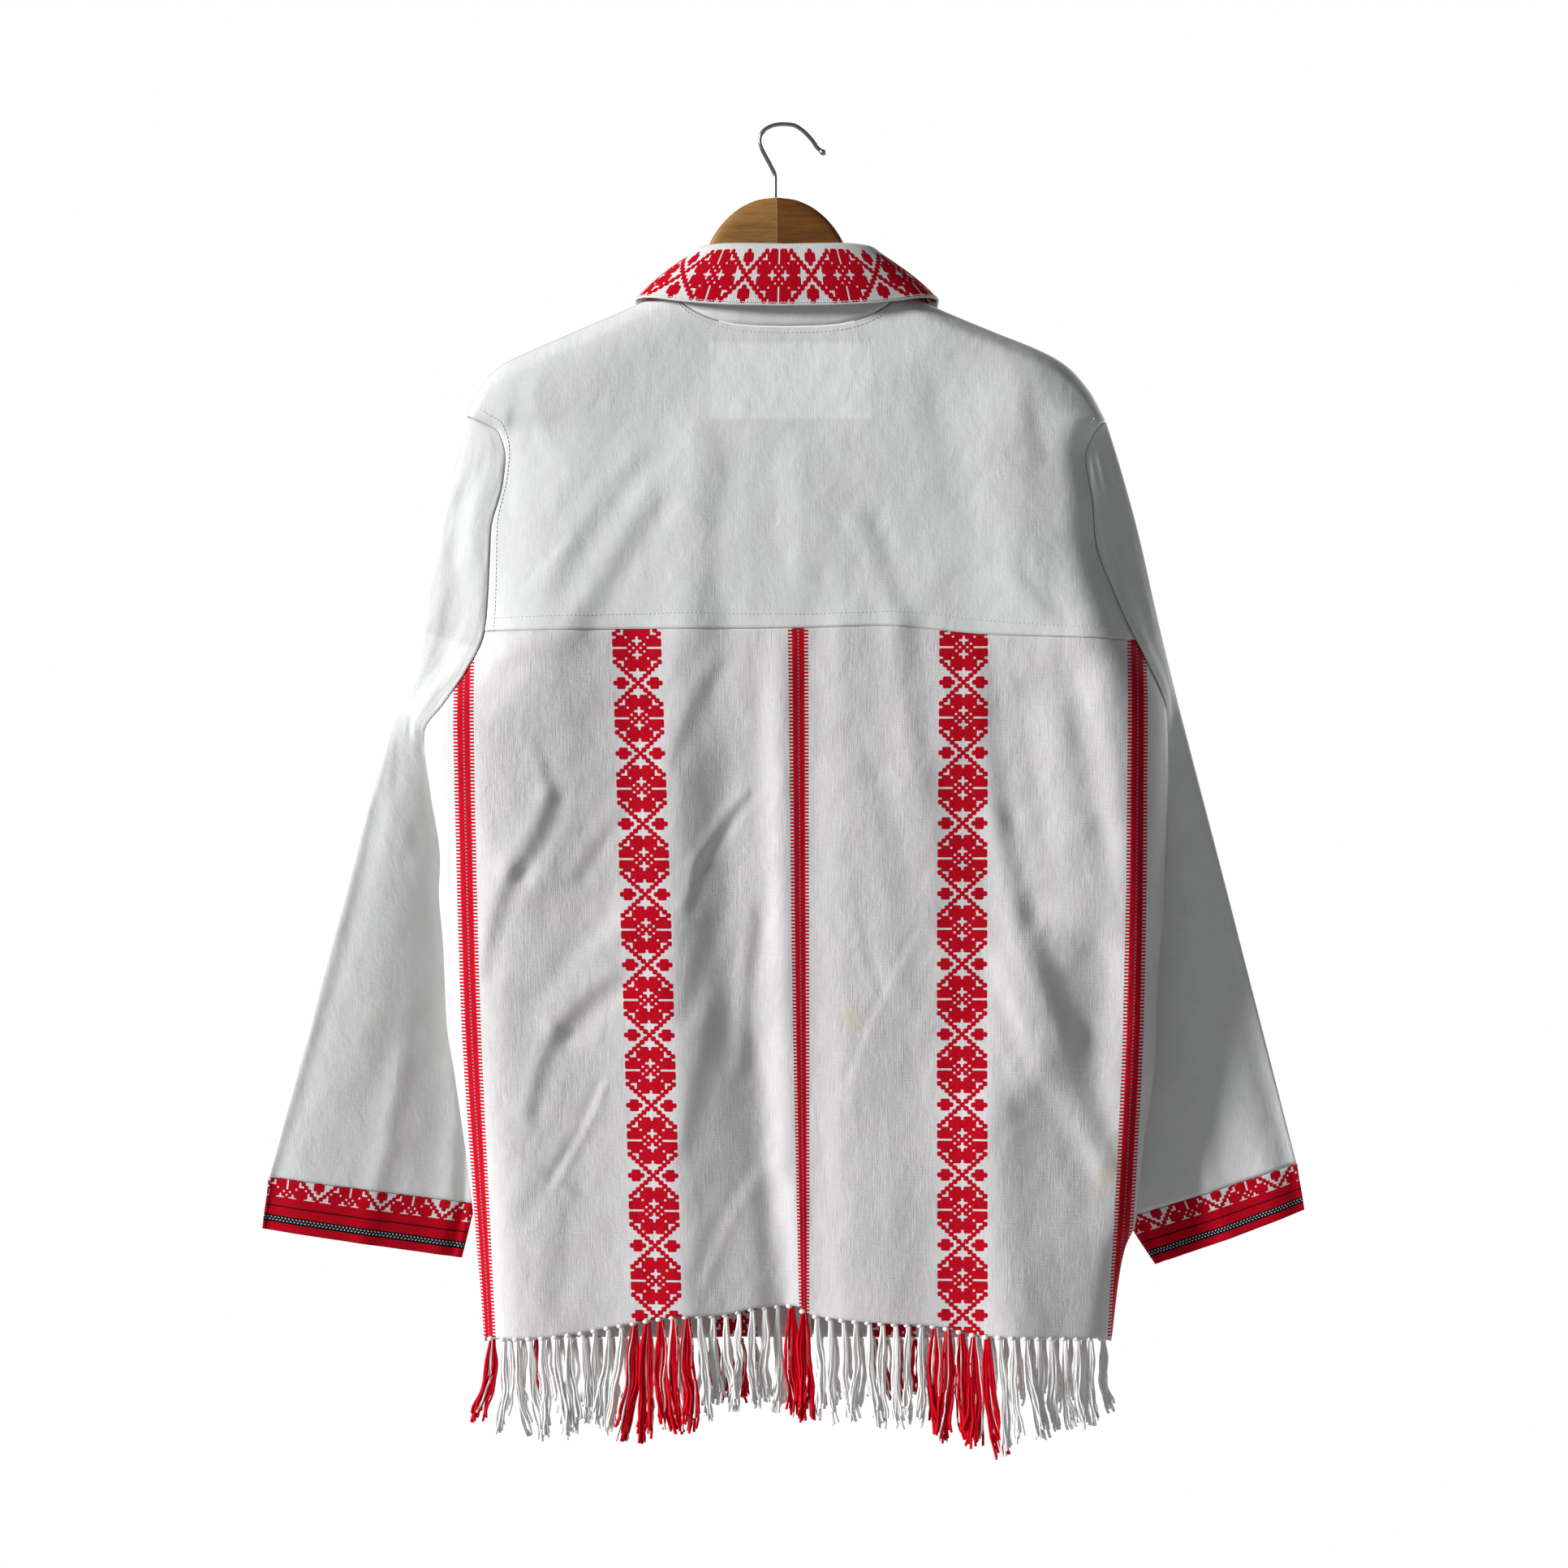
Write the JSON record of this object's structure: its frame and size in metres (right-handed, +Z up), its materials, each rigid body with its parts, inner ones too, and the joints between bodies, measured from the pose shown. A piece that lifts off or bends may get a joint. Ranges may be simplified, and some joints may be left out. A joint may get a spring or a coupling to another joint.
{
  "type": "overshirt on a hanger",
  "caption": "Long-sleeved white woven overshirt with red woven bands and a knotted fringe, hanging flat on a wooden hanger with a steel hook.",
  "frame": {"origin": "inside top of the hanger's hook, where it rests on a rail", "axes": "+Z up, +Y out of the garment's front, +X towards the wearer's right"},
  "size_m": [0.7874, 0.0733, 0.9968],
  "materials": {
    "cotton_plain": "plain weave, matte",
    "cotton_heavy": "heavy hand weave with woven stripes, matte",
    "band_woven": "woven band with red rosettes, matte",
    "cotton_thread": "twisted thread, matte",
    "wood_light": "satin varnish",
    "wood_dark": "satin varnish",
    "steel_wire": "drawn wire",
    "button_shell": "polished"
  },
  "bodies": {
    "root": {"back_yoke": "cotton_plain", "back_panel": "cotton_heavy", "front_left": "cotton_plain", "front_right": "cotton_plain", "front_placket": "cotton_plain", "collar_stand": "cotton_plain", "collar_leaf": "band_woven", "sleeve_left": "cotton_plain", "sleeve_right": "cotton_plain", "cuff_left": "band_woven", "cuff_right": "band_woven", "fringe_back": "cotton_thread", "fringe_front_left": "cotton_thread", "fringe_front_right": "cotton_thread", "hanger_left": "wood_light", "hanger_right": "wood_dark", "hanger_hook": "steel_wire", "button_1": "button_shell", "button_2": "button_shell", "button_3": "button_shell", "button_4": "button_shell", "button_5": "button_shell", "button_6": "button_shell"}
  },
  "joints": []
}
